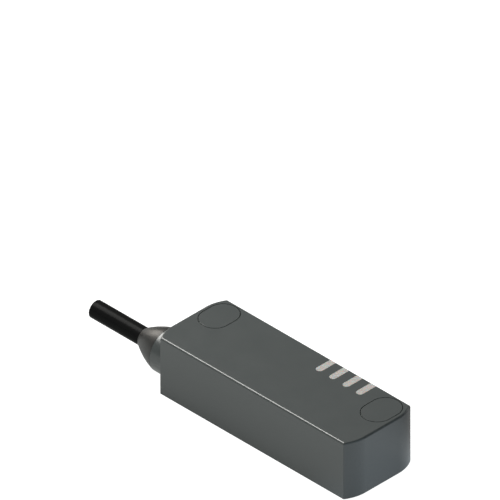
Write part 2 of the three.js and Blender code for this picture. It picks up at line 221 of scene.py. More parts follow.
CHIP_EPOXY = Finish(
    "chip_epoxy", (0.01, 0.01, 0.011), (0.02, 0.02, 0.022), roughness=0.5, grain_size=0.1 * MM
)
CAPACITOR_CASE = Finish("capacitor_case", (0.60, 0.36, 0.05), (0.52, 0.30, 0.04), roughness=0.45)
CRYSTAL_CAN = Finish("crystal_can", (0.66, 0.65, 0.62), (0.55, 0.55, 0.53), roughness=0.28, metallic=1.0)
LED_LENS = Finish("led_lens", (0.80, 0.77, 0.62), (0.86, 0.83, 0.70), roughness=0.2, subsurface=0.3)
BOBBIN_PLASTIC = Finish("bobbin_plastic", (0.66, 0.61, 0.50), (0.72, 0.67, 0.56), roughness=0.45)
WINDING_COPPER = Finish(
    "winding_copper", (0.62, 0.20, 0.07), (0.48, 0.13, 0.04), roughness=0.28, metallic=1.0, coat=0.5
)
FERRITE = Finish(
    "ferrite", (0.02, 0.02, 0.022), (0.035, 0.034, 0.034), roughness=0.6, grain_height=0.01 * MM
)


def core_finish(colour: str) -> Finish:
    """Give the finish of the wire insulation in one colour of the cable's code.

    Args:
        colour: The colour's name.

    Returns:
        The finish.
    """
    shades = {
        "white": (0.80, 0.79, 0.75),
        "brown": (0.16, 0.07, 0.03),
        "green": (0.03, 0.22, 0.07),
        "yellow": (0.80, 0.58, 0.04),
        "grey": (0.24, 0.25, 0.26),
        "pink": (0.76, 0.33, 0.40),
        "blue": (0.02, 0.08, 0.34),
        "red": (0.48, 0.02, 0.02),
    }
    shade = shades[colour]
    darker = tuple(0.85 * part for part in shade)
    return Finish(f"core_{colour}", shade, darker, roughness=0.35, pattern=Pattern.DRAWN)


# ------------------------------------------------------------------ modelling


class Operation(Enum):
    """How one solid acts on another."""

    CUT = "DIFFERENCE"
    JOIN = "UNION"
    KEEP = "INTERSECT"


class Pen:
    """Draws a chain of edges in a bmesh by extruding and spinning its tip."""

    def __init__(self, bm: bmesh.types.BMesh, start: Sequence[float]) -> None:
        """Put the tip down at start."""
        self.bm = bm
        self.tip = bm.verts.new(start)

    def line_to(self, *points: Sequence[float]) -> "Pen":
        """Draw straight edges to each point in turn.

        Args:
            points: The corners, in order.

        Returns:
            The pen, at the last point.
        """
        for point in points:
            self.tip = bmesh.ops.extrude_vert_indiv(self.bm, verts=[self.tip])["verts"][0]
            self.tip.co = point
        return self

    def arc(self, centre: Sequence[float], angle: float, steps: int, axis: Vector = Z_AXIS) -> "Pen":
        """Draw an arc about an axis through centre, by an angle in radians.

        Args:
            centre: A point on the axis.
            angle: How far to turn.
            steps: How many edges the arc has.
            axis: The direction of the axis.

        Returns:
            The pen, at the arc's end.
        """
        made = spin(self.bm, [self.tip], centre, axis, angle, steps)
        self.tip = next(item for item in made if isinstance(item, bmesh.types.BMVert))
        return self


def spin(
    bm: bmesh.types.BMesh,
    geometry: Sequence,
    centre: Sequence[float],
    axis: Vector,
    angle: float,
    steps: int,
) -> list:
    """Spin geometry about an axis, and return what lies at the far end.

    Args:
        bm: The bmesh to work in.
        geometry: Vertices and edges to spin.
        centre: A point on the axis.
        axis: The direction of the axis.
        angle: How far to turn, in radians; a full turn is closed.
        steps: How many steps the turn takes.

    Returns:
        The geometry at the far end.
    """
    made = bmesh.ops.spin(
        bm,
        geom=list(geometry),
        cent=centre,
        axis=axis,
        dvec=(0, 0, 0),
        angle=angle,
        steps=steps,
        use_merge=math.isclose(abs(angle), 2 * math.pi),
        use_normal_flip=False,
        use_duplicate=False,
    )
    return made["geom_last"]


class Solid:
    """A closed bmesh body that can be cut, joined and moved before it becomes a piece."""

    def __init__(self) -> None:
        """Start empty."""
        self.bm = bmesh.new()

    def fill(self) -> bmesh.types.BMFace:
        """Close the drawn loop of edges with one face."""
        made = bmesh.ops.contextual_create(self.bm, geom=self.bm.edges[:])
        return made["faces"][0]

    def raise_face(self, face: bmesh.types.BMFace, offset: Vector) -> "Solid":
        """Extrude a face into a body.

        Args:
            face: The face, which stays as the near side.
            offset: From the face to its far copy.

        Returns:
            This solid.
        """
        made = bmesh.ops.extrude_face_region(self.bm, geom=[face])
        moved = [item for item in made["geom"] if isinstance(item, bmesh.types.BMVert)]
        bmesh.ops.translate(self.bm, verts=moved, vec=offset)
        return self.tidy()

    def mirror(self, *axes: str) -> "Solid":
        """Mirror all geometry across the planes through the origin, one after another.

        Args:
            axes: X, Y or Z, in the order to mirror.

        Returns:
            This solid.
        """
        for axis in axes:
            everything = self.bm.verts[:] + self.bm.edges[:] + self.bm.faces[:]
            bmesh.ops.mirror(self.bm, geom=everything, axis=axis, merge_dist=1e-7)
        return self

    def tidy(self) -> "Solid":
        """Merge doubles and turn the faces outwards.

        Returns:
            This solid.
        """
        bmesh.ops.remove_doubles(self.bm, verts=self.bm.verts[:], dist=1e-7)
        bmesh.ops.recalc_face_normals(self.bm, faces=self.bm.faces[:])
        return self

    def turn(self, centre: Sequence[float], steps: int = 96, axis: Vector = X_AXIS) -> "Solid":
        """Turn the drawn profile into a body of revolution about an axis through centre."""
        spin(self.bm, self.bm.verts[:] + self.bm.edges[:], centre, axis, 2 * math.pi, steps)
        return self.tidy()

    def move(self, offset: Sequence[float]) -> "Solid":
        """Move the whole body."""
        bmesh.ops.translate(self.bm, verts=self.bm.verts[:], vec=offset)
        return self

    def rotate(self, angle: float, axis: str) -> "Solid":
        """Rotate the whole body about an axis through the origin, by an angle in radians.

        Args:
            angle: How far to turn.
            axis: X, Y or Z.

        Returns:
            This solid.
        """
        turn = Matrix.Rotation(angle, 3, axis)
        bmesh.ops.rotate(self.bm, verts=self.bm.verts[:], cent=ORIGIN, matrix=turn)
        return self

    def bevel(
        self, chosen: Callable[[bmesh.types.BMEdge], bool], offset: float, segments: int = 3
    ) -> "Solid":
        """Round the edges that chosen picks.

        Args:
            chosen: Says whether an edge is rounded.
            offset: How far the rounding reaches, in metres.
            segments: How many faces it has.

        Returns:
            This solid.
        """
        edges = [edge for edge in self.bm.edges if chosen(edge)]
        bmesh.ops.bevel(
            self.bm,
            geom=edges,
            offset=offset,
            offset_type="OFFSET",
            segments=segments,
            profile=0.5,
            affect="EDGES",
            material=-1,
            clamp_overlap=True,
        )
        return self

    def combine(self, operation: Operation, *tools: "Solid") -> "Solid":
        """Cut, join or intersect this body with each tool in turn. The tools are used up.

        Args:
            operation: What each tool does.
            tools: The other bodies.

        Returns:
            This solid.
        """
        for tool in tools:
            pair = [bpy.data.objects.new("work", bpy.data.meshes.new("work")) for _ in range(2)]
            for item, solid in zip(pair, (self, tool)):
                solid.bm.to_mesh(item.data)
                solid.bm.free()
                bpy.context.scene.collection.objects.link(item)
            modifier = pair[0].modifiers.new("work", "BOOLEAN")
            modifier.object = pair[1]
            modifier.operation = operation.value
            modifier.solver = "EXACT"
            depsgraph = bpy.context.evaluated_depsgraph_get()
            result = bpy.data.meshes.new_from_object(pair[0].evaluated_get(depsgraph))
            self.bm = bmesh.new()
            self.bm.from_mesh(result)
            for item in pair:
                bpy.data.objects.remove(item)
        return self.tidy()

    def absorb(self, *others: "Solid") -> "Solid":
        """Take in other bodies that don't touch this one.

        Args:
            others: The bodies, which are used up.

        Returns:
            This solid.
        """
        for other in others:
            mesh = bpy.data.meshes.new("work")
            other.bm.to_mesh(mesh)
            other.bm.free()
            self.bm.from_mesh(mesh)
            bpy.data.meshes.remove(mesh)
        return self


def oval(width: float, straight: float, low: float, high: float, steps: int = 32) -> Solid:
    """Build an upright prism whose section is two half circles and a straight stretch along Y.

    Args:
        width: Across both half circles, along X.
        straight: The length of the straight stretch.
        low: The height of the lower end.
        high: The height of the upper end.
        steps: How many edges each half circle has.

    Returns:
        The prism, about the Z axis.
    """
    solid = Solid()
    radius, half = width / 2, straight / 2
    pen = Pen(solid.bm, (radius, 0, low)).line_to((radius, half, low))
    pen.arc((0, half, low), math.pi, steps).line_to((-radius, 0, low))
    solid.mirror("Y").tidy()
    return solid.raise_face(solid.fill(), Vector((0, 0, high - low)))


def block(low: Sequence[float], high: Sequence[float]) -> Solid:
    """Build a rectangular block between two corners.

    Args:
        low: The corner with the smallest coordinates.
        high: The corner with the largest ones.

    Returns:
        The block.
    """
    solid = Solid()
    size = [upper - lower for lower, upper in zip(low, high)]
    middle = [(upper + lower) / 2 for lower, upper in zip(low, high)]
    bmesh.ops.create_cube(solid.bm, size=1, matrix=Matrix.Translation(middle) @ Matrix.Diagonal((*size, 1)))
    return solid


def chain(points: Sequence[Sequence[float]]) -> Solid:
    """Draw a closed chain of edges through points.

    Args:
        points: The corners, in order.

    Returns:
        A solid that holds only the chain.
    """
    solid = Solid()
    Pen(solid.bm, points[0]).line_to(*points[1:], points[0])
    return solid


def turned(profile: Sequence[Sequence[float]], centre: Vector, steps: int = 96) -> Solid:
    """Turn a closed profile of (x, radius) points about the X axis through centre."""
    points = [Vector((x, centre.y, centre.z + radius)) for x, radius in profile]
    return chain(points).turn(centre, steps)


def slab(outline: Sequence[Sequence[float]], offset: Vector) -> Solid:
    """Build a prism from a flat outline of corner points and the offset to its far side."""
    solid = chain(outline).tidy()
    return solid.raise_face(solid.fill(), offset)


def wire(points: Sequence[Vector], radius: float, sides: int = 3) -> Solid:
    """Build a round wire that passes smoothly through the points, with closed ends.

    Args:
        points: The centre line, in metres.
        radius: The wire's radius.
        sides: The roundness of its section, from 0 up.

    Returns:
        The wire as a closed solid.
    """
    curve = bpy.data.curves.new("work", "CURVE")
    curve.dimensions = "3D"
    curve.bevel_depth = radius
    curve.bevel_resolution = sides
    curve.resolution_u = 6
    curve.use_fill_caps = True
    spline = curve.splines.new("BEZIER")
    spline.bezier_points.add(len(points) - 1)
    for knot, point in zip(spline.bezier_points, points):
        knot.co = point
        knot.handle_left_type = knot.handle_right_type = "AUTO"
    item = bpy.data.objects.new("work", curve)
    bpy.context.scene.collection.objects.link(item)
    depsgraph = bpy.context.evaluated_depsgraph_get()
    solid = Solid()
    solid.bm.from_mesh(bpy.data.meshes.new_from_object(item.evaluated_get(depsgraph)))
    bpy.data.objects.remove(item)
    return solid.tidy()


def is_level(edge: bmesh.types.BMEdge, height: float) -> bool:
    """Say whether an edge lies level at a height."""
    return all(abs(vert.co.z - height) < TOUCHING for vert in edge.verts)


def climbs(edge: bmesh.types.BMEdge, least: float) -> bool:
    """Say whether an edge rises by more than a least height."""
    return abs(edge.verts[0].co.z - edge.verts[1].co.z) > least


def top_of(node: str) -> float:
    """Give the height of a CAD node's top."""
    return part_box(node)[1].z


def deliver(
    solid: Solid,
    name: str,
    finish: Finish,
    body: str = "housing",
    replaces: Iterable[str] = (),
    sharp_angle: float = 32,
) -> bpy.types.Object:
    """Turn a solid into a finished piece that rides on a body.

    Args:
        solid: The body, in the row frame and in metres. It is used up.
        name: The piece's name.
        finish: Its material.
        body: The moving body that carries it.
        replaces: The CAD nodes it stands for.
        sharp_angle: Edges steeper than this many degrees keep a crease.

    Returns:
        The new object.
    """
    solid.tidy()
    mesh = bpy.data.meshes.new(name)
    solid.bm.to_mesh(mesh)
    solid.bm.free()
    mesh.shade_smooth()
    mesh.set_sharp_from_angle(angle=math.radians(sharp_angle))
    piece = bpy.data.objects.new(name, mesh)
    bpy.context.scene.collection.objects.link(piece)
    shading = piece.modifiers.new("even_shading", "WEIGHTED_NORMAL")
    shading.keep_sharp = True
    mesh.materials.append(finish.material())
    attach(piece, body)
    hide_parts(*replaces)
    LOG.info("%s: %d faces on %s", name, len(mesh.polygons), body)
    return piece


def node_centre(node: str) -> Vector:
    """Give the middle of a CAD node's box."""
    low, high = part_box(node)
    return (low + high) / 2


def node_size(node: str) -> Vector:
    """Give the size of a CAD node's box."""
    low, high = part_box(node)
    return high - low


# ------------------------------------------------------------------ housing


@dataclass
class Housing:
    """The moulded case with its cover, screw bushings, caps and light guides."""

    arc_radius: float = 11.3 * MM
    arc_reach: float = 6.3 * MM
    top_fillet: float = 1.2 * MM
    corner_break: float = 0.12 * MM
    wall: float = 2.0 * MM
    roof: float = 1.8 * MM
    rim: float = 1.2 * MM
    cover_seat: float = 1.7 * MM
    fit: float = 0.15 * MM
    slot_straight: float = 3.1 * MM
    slot_width: float = 4.6 * MM
    bushing_wall: float = 1.1 * MM
    tower_wall: float = 1.1 * MM
    pocket_width: float = 9.2 * MM
    pocket_floor: float = 8 * MM
    collar_radius: float = 6.35 * MM
    collar_bore: float = 4.6 * MM
    collar_pilot: float = 0.5 * MM
    collar_bore_end: float = -32.5 * MM
    light_fit: float = 0.03 * MM
    light_lip: float = 0.3 * MM
    light_foot: float = 2.4 * MM
    panel_length: float = 40 * MM
    panel_width: float = 16 * MM
    panel_depth: float = 0.12 * MM
    cap_skirt: float = 1.1 * MM
    cap_roof: float = 1.3 * MM
    cap_rib: float = 1 * MM

    def __post_init__(self) -> None:
        """Read the driving sizes from the CAD nodes."""
        low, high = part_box("housing_shell")
        self.half_length = high.x
        self.half_width = high.y
        self.height = high.z
        self.collar_face = low.x
        self.cable_axis = node_centre("cable_jacket")
        self.slots = {end: node_centre(f"screw_cap_{end}") for end in ENDS}
        self.light_size = node_size("light_guide_1")

    def plan(self, inset: float, low: float, high: float) -> Solid:
        """Build an upright prism of the housing's outline, drawn in by inset.

        Args:
            inset: How far the outline is drawn in.
            low: The height of the lower end.
            high: The height of the upper end.

        Returns:
            The prism.
        """
        solid = Solid()
        centre = Vector((self.half_length - self.arc_radius, self.half_width - self.arc_reach, low))
        edge = self.half_length - inset
        pen = Pen(solid.bm, (edge, 0, low)).line_to((edge, centre.y, low))
        pen.arc(centre, self.sweep(inset), 20).line_to((0, self.half_width - inset, low))
        solid.mirror("X", "Y").tidy()
        return solid.raise_face(solid.fill(), Vector((0, 0, high - low)))

    def outer_block(self) -> Solid:
        """Build the solid block with its rounded top edge and softened corners.

        Returns:
            The block, without its collar.
        """
        corner_x = self.half_length - self.arc_radius * (1 - math.cos(self.sweep(0)))

        def is_corner(edge: bmesh.types.BMEdge) -> bool:
            """Say whether an edge runs up a corner between a long side and an end's arc."""
            near = all(abs(abs(vert.co.x) - corner_x) < self.top_fillet for vert in edge.verts)
            return near and climbs(edge, TOUCHING) and edge.calc_face_angle(0) > math.radians(5)

        solid = self.plan(0, 0, self.height)
        solid.bevel(lambda edge: is_level(edge, self.height), self.top_fillet, 8).tidy()
        solid.bevel(is_corner, self.corner_break, 3)
        return solid.bevel(lambda edge: is_level(edge, 0), self.corner_break, 2).tidy()

    def sweep(self, inset: float) -> float:
        """Give the angle that an end's corner arc turns through, with the outline drawn in."""
        return math.asin((self.arc_reach - inset) / (self.arc_radius - inset))

    def light_bars(self, clearance: float) -> Solid:
        """Build the two bars of a light guide, on the roof and down the back wall.

        Args:
            clearance: How much larger than the guide the bars are, all round.

        Returns:
            The roof bar and the wall bar, joined, at X = 0.
        """
        beyond = 3 * MM
        width = self.light_size.x + 2 * clearance
        reach = self.light_size.y + clearance
        straight = reach + beyond - width
        middle = (beyond - reach) / 2
        roof_bar = oval(width, straight, -self.roof - self.light_lip, beyond, 16)
        roof_bar.move((0, self.half_width + middle, self.height))
        wall_bar = oval(width, straight, -beyond, self.wall + self.light_lip, 16)
        wall_bar.rotate(math.pi / 2, "X").move((0, self.half_width, self.height + middle))
        return roof_bar.combine(Operation.JOIN, wall_bar)

    def shell(self) -> None:
        """Build the case: block and collar, hollowed out round its two screw towers."""
        below = -2 * OVERCUT
        hollow = self.plan(self.wall, self.cover_seat, self.height - self.roof)
        for place in self.slots.values():
            width = self.pocket_width + 2 * self.tower_wall
            tower = oval(width, self.slot_straight, self.cover_seat + self.fit, self.height)
            hollow.combine(Operation.CUT, tower.move((place.x, place.y, 0)))
        mouth = self.plan(self.rim, below, self.cover_seat + self.fit / 2)
        hollow.combine(Operation.JOIN, mouth)

        start, end = self.collar_face, -self.half_length + self.wall
        pilot, outer = self.collar_pilot, self.collar_radius
        collar = turned([(start, pilot), (end, pilot), (end, outer), (start, outer)], self.cable_axis)
        collar.bevel(self._on_collar_rim, self.corner_break, 2)
        bore = oval(2 * self.collar_bore, 0, 2 * start, self.collar_bore_end, 48)
        bore.rotate(math.pi / 2, "Y").move((0, self.cable_axis.y, self.cable_axis.z))

        shell = self.outer_block().combine(Operation.JOIN, collar)
        shell.combine(Operation.CUT, hollow)
        for place in self.slots.values():
            pocket = oval(self.pocket_width, self.slot_straight, self.pocket_floor, self.height + OVERCUT)
            shell.combine(Operation.CUT, pocket.move((place.x, place.y, 0)))
            shell.combine(Operation.CUT, self.bushing_hole(place, below, self.height))
        for index in range(LIGHT_COUNT):
            seat = self.light_bars(self.light_fit)
            shell.combine(Operation.CUT, seat.move((self.light_x(index), 0, 0)))
        shell.combine(Operation.CUT, bore)
        deliver(shell, "case_moulding", HOUSING_PLASTIC, replaces=["housing_shell"])

    def _on_collar_rim(self, edge: bmesh.types.BMEdge) -> bool:
        """Say whether an edge is on the outer rim of the collar's face.

        Args:
            edge: The edge to test.

        Returns:
            True on the rim.
        """
        for vert in edge.verts:
            radius = math.hypot(vert.co.y - self.cable_axis.y, vert.co.z - self.cable_axis.z)
            if abs(vert.co.x - self.collar_face) > 1e-6 or abs(radius - self.collar_radius) > 1e-5:
                return False
        return True

    def light_x(self, index: int) -> float:
        """Give the X of a light guide."""
        return node_centre(f"light_guide_{index + 1}").x

    def bushing_hole(self, place: Vector, low: float, high: float) -> Solid:
        """Build the tool that cuts the hole for a bushing, between two heights."""
        width = self.slot_width + 2 * (self.bushing_wall + self.fit)
        return oval(width, self.slot_straight, low, high).move((place.x, place.y, 0))

    def cover(self) -> None:
        """Build the base cover, with its bushing holes and a shallow panel in its underside."""
        thickness = top_of("base_cover")
        plate = self.plan(self.rim + self.fit, 0, thickness)
        plate.bevel(lambda edge: is_level(edge, 0), 0.1 * MM, 2)
        for place in self.slots.values():
            plate.combine(Operation.CUT, self.bushing_hole(place, -OVERCUT, thickness + OVERCUT))
        across, along = self.panel_length / 2, self.panel_width / 2
        panel = block((-across, -along, -OVERCUT), (across, along, self.panel_depth))
        panel.bevel(lambda edge: climbs(edge, 0.5 * MM), 1 * MM, 4)
        plate.combine(Operation.CUT, panel)
        deliver(plate, "cover_moulding", COVER_PLASTIC, replaces=["base_cover"])

    def bushing(self, end: str) -> None:
        """Build the steel bushing of one screw slot: an oval sleeve with a flange.

        Args:
            end: The end of the housing, from ENDS.
        """
        node = f"slot_bushing_{end}"
        place = self.slots[end]
        top = top_of(node)
        flange_bottom = self.pocket_floor + self.fit
        sleeve_width = self.slot_width + 2 * self.bushing_wall
        sleeve = oval(sleeve_width, self.slot_straight, 0, flange_bottom + 0.5 * MM)
        flange = oval(node_size(node).x, self.slot_straight, flange_bottom, top)
        flange.bevel(lambda edge: is_level(edge, top), 0.15 * MM, 2)
        slot = oval(self.slot_width, self.slot_straight, -OVERCUT, self.height)
        sleeve.combine(Operation.JOIN, flange).combine(Operation.CUT, slot)
        sleeve.bevel(lambda edge: is_level(edge, 0) or self._on_slot_rim(edge, top), 0.12 * MM, 2)
        sleeve.move((place.x, place.y, 0))
        deliver(sleeve, f"steel_bushing_{end}", BUSHING_STEEL, replaces=[node])

    def _on_slot_rim(self, edge: bmesh.types.BMEdge, top: float) -> bool:
        """Say whether an edge runs round the slot at the flange's top."""
        near = all(abs(vert.co.x) < self.slot_width / 2 + 1e-5 for vert in edge.verts)
        return near and is_level(edge, top) and not edge.is_boundary and edge.calc_face_angle(0) > 1

    def cap(self, end: str) -> None:
        """Build one screw cap: an oval plug, hollow from below, with a rib across.

        Args:
            end: The end of the housing, from ENDS.
        """
        node = f"screw_cap_{end}"
        low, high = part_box(node)
        width = node_size(node).x
        plug = oval(width, self.slot_straight, low.z, high.z)
        plug.bevel(lambda edge: is_level(edge, high.z), 0.03 * MM, 2)
        plug.bevel(lambda edge: is_level(edge, low.z), 0.25 * MM, 2)
        inner = width - 2 * self.cap_skirt
        hollow = oval(inner, self.slot_straight, low.z - OVERCUT, high.z - self.cap_roof)
        half_rib = self.cap_rib / 2
        rib = block((-width / 2, -half_rib, low.z - 2 * OVERCUT), (width / 2, half_rib, high.z))
        hollow.combine(Operation.CUT, rib)
        plug.combine(Operation.CUT, hollow)
        plug.move((self.slots[end].x, self.slots[end].y, 0))
        deliver(plug, f"cap_{end}", CAP_PLASTIC, body=f"cap_{end}", replaces=[node])

    def light_guide(self, index: int) -> None:
        """Build one milky light guide: bars flush with roof and back, and a foot over its LED.

        Args:
            index: The guide's number, from 0.
        """
        node = f"light_guide_{index + 1}"
        foot_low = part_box(node)[0].z
        half, reach = self.light_size.x / 2, self.light_foot / 2
        foot_y = node_centre(f"status_led_{index + 1}").y
        guide = self.light_bars(0).combine(Operation.KEEP, self.outer_block())
        foot = block((-half, foot_y - reach, foot_low), (half, foot_y + reach, self.height - self.roof))
        foot.bevel(lambda edge: is_level(edge, foot_low), 0.3 * MM, 3)
        guide.combine(Operation.JOIN, foot).move((self.light_x(index), 0, 0))
        deliver(guide, f"light_bar_{index + 1}", LIGHT_MILK, replaces=[node])

    def build(self) -> None:
        """Make every piece of the housing."""
        self.shell()
        self.cover()
        for end in ENDS:
            self.bushing(end)
            self.cap(end)
        for index in range(LIGHT_COUNT):
            self.light_guide(index)


# ------------------------------------------------------------------ cable entry


@dataclass
class CableEntry:
    """The strain relief, seal and clamp, and the cable with its cut end."""

    jacket_wall: float = 0.9 * MM
    core_radius: float = 0.5 * MM
    core_ring: float = 1.18 * MM
    core_recess: float = 0.08 * MM
    strand_radius: float = 0.1 * MM
    strand_length: float = 1.5 * MM
    strand_recess: float = 0.02 * MM
    bundle_inset: float = 1.2 * MM
    bundle_lead: float = 3 * MM
    fan_start: float = 1.6 * MM
    fan_pitch: float = 1.05 * MM
    row_rise: float = 0.53 * MM
    crest_x: float = -24.2 * MM
    bend_back: float = 1.1 * MM
    bend_drop: float = 0.35 * MM
    pad_clearance: float = 0.4 * MM
    spigot_radius: float = 4.4 * MM
    relief_fit: float = 0.03 * MM
    sleeve_fit: float = 0.02 * MM
    seal_groove: float = 0.35 * MM
    start_slope: float = math.tan(math.radians(14))
    tip_radius: float = 2.8 * MM

    def __post_init__(self) -> None:
        """Read the driving sizes from the CAD nodes."""
        self.axis = node_centre("cable_jacket")
        self.radius = node_size("cable_jacket").z / 2
        self.outer_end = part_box("cable_jacket")[0].x
        self.inner_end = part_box("cable_jacket")[1].x

    def strain_relief(self) -> None:
        """Build the tapered relief: an ogive from the collar to the cable, with its spigot."""
        low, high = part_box("strain_relief")
        base = node_size("strain_relief").z / 2
        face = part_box("housing_shell")[0].x
        length = face - low.x
        bore = self.radius + self.relief_fit
        slope = self.start_slope
        bend = base - self.tip_radius - length * slope
        steps = 24
        curve = []
        for step in range(steps + 1):
            t = step / steps
            curve.append((face - length * t, base - length * slope * t - bend * t * t))
        spigot = [(high.x, self.spigot_radius), (face, self.spigot_radius)]
        profile = [(low.x, bore), (high.x, bore), *spigot, *curve]
        self._turned(profile, "bend_relief", RELIEF_PLASTIC, "strain_relief")

    def seal(self) -> None:
        """Build the rubber seal, with a lip at each end and a groove between them."""
        low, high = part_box("cable_seal")
        outer = node_size("cable_seal").z / 2
        bore = self.radius + self.sleeve_fit
        third = (high.x - low.x) / 3
        groove = outer - self.seal_groove
        profile = [
            (low.x, bore), (high.x, bore), (high.x, outer), (high.x - third, outer),
            (high.x - 1.3 * third, groove), (low.x + 1.3 * third, groove), (low.x + third, outer),
            (low.x, outer),
        ]
        self._turned(profile, "grommet", SEAL_RUBBER, "cable_seal")

    def clamp(self) -> None:
        """Build the crimped brass clamp, with two crimp grooves pressed into it."""
        low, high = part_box("cable_clamp")
        outer = node_size("cable_clamp").z / 2
        bore = self.radius + self.sleeve_fit
        chamfer = 0.2 * MM
        profile = [(low.x, bore), (high.x, bore), (high.x, outer - chamfer), (high.x - chamfer, outer)]
        for share in (0.67, 0.33):
            middle = low.x + share * (high.x - low.x)
            for offset, depth in ((0.35, 0), (0.15, 0.25), (-0.15, 0.25), (-0.35, 0)):
                profile.append((middle + offset * MM, outer - depth * MM))
        profile += [(low.x + chamfer, outer), (low.x, outer - chamfer)]
        self._turned(profile, "crimp_ring", CLAMP_BRASS, "cable_clamp")

    def _turned(self, profile: Sequence, name: str, finish: Finish, node: str) -> None:
        """Turn a closed profile of (x, radius) points about the cable's axis into a piece."""
        deliver(turned(profile, self.axis), name, finish, replaces=[node])

    def jacket(self) -> None:
        route_steps = 18
        length = self.inner_end - self.outer_end
        inner = self.radius - self.jacket_wall
        route = [
            Vector((self.inner_end - length * step / route_steps, self.axis.y, self.axis.z))
            for step in range(route_steps + 1)
        ]
        outside = [(point.x, self.radius) for point in route]
        inside = [(point.x, inner) for point in reversed(route)]
        solid = turned(outside + inside, self.axis, 64)
        solid.bevel(self._on_cut_rim, 0.06 * MM, 2)
        piece = deliver(solid, "cable", JACKET_PVC, replaces=["cable_jacket"])

    def _on_cut_rim(self, edge: bmesh.types.BMEdge) -> bool:
        """Say whether an edge runs round the cut end of the jacket.

        Args:
            edge: The edge to test.

        Returns:
            True on a rim.
        """
        at_end = all(abs(vert.co.x - self.outer_end) < 1e-6 for vert in edge.verts)
        radii = [math.hypot(v.co.y - self.axis.y, v.co.z - self.axis.z) for v in edge.verts]
        return at_end and abs(radii[0] - radii[1]) < 1e-6

    def core_places(self) -> list[Vector]:
        """Give each core's place in the bundle: the lower row of pads first, then the upper.

        Returns:
            Offsets from the cable's axis, in the order of CORE_COLOURS.
        """
        around = [
            Matrix.Rotation(2 * math.pi * step / 7, 3, "X") @ Vector((0, 0, self.core_ring))
            for step in range(7)
        ]
        top, upper_left, left, low_left, low_right, right, upper_right = around
        return [left, low_left, low_right, right, upper_left, top, ORIGIN, upper_right]

    def cores(self) -> None:
        """Run the eight cores from the cut end, through the jacket and fanned out to their pads."""
        bundle_end = self.inner_end - self.bundle_inset
        strands = Solid()
        for index, (colour, place) in enumerate(zip(CORE_COLOURS, self.core_places())):
            column = index % CORES_IN_ROW - (CORES_IN_ROW - 1) / 2
            row = 1 if index >= CORES_IN_ROW else -1
            pad = Electronics.pad_of_core(index)
            leaving = self.axis.y + column * self.fan_pitch
            crest = top_of(f"core_{colour}") - self.core_radius
            middle = place + self.axis
            points = [
                Vector((self.outer_end + self.core_recess, middle.y, middle.z)),
                Vector((bundle_end - self.bundle_lead, middle.y, middle.z)),
                Vector((bundle_end, middle.y, middle.z)),
                Vector((self.inner_end + self.fan_start, leaving, self.axis.z + row * self.row_rise)),
                Vector((self.crest_x, (leaving + pad.y) / 2, crest)),
                Vector((pad.x - self.bend_back, pad.y, crest - self.bend_drop)),
                Vector((pad.x, pad.y, pad.z + self.pad_clearance)),
            ]
            core = wire(points, self.core_radius)
            deliver(core, f"wire_{colour}", core_finish(colour), replaces=[f"core_{colour}"])
            ends = [middle]
            for step in range(6):
                round_middle = Matrix.Rotation(math.pi * step / 3, 3, "X")
                ends.append(middle + round_middle @ Vector((0, 0, 2 * self.strand_radius)))
            for end in ends:
                start = Vector((self.outer_end + self.strand_recess, end.y, end.z))
                strands.absorb(wire([start, start + X_AXIS * self.strand_length], self.strand_radius, 1))
        deliver(strands, "wire_strands", WINDING_COPPER)

    def build(self) -> None:
        """Make every piece of the cable and its entry."""
        self.strain_relief()
        self.seal()
        self.clamp()
        self.jacket()
        self.cores()


# ------------------------------------------------------------------ electronics


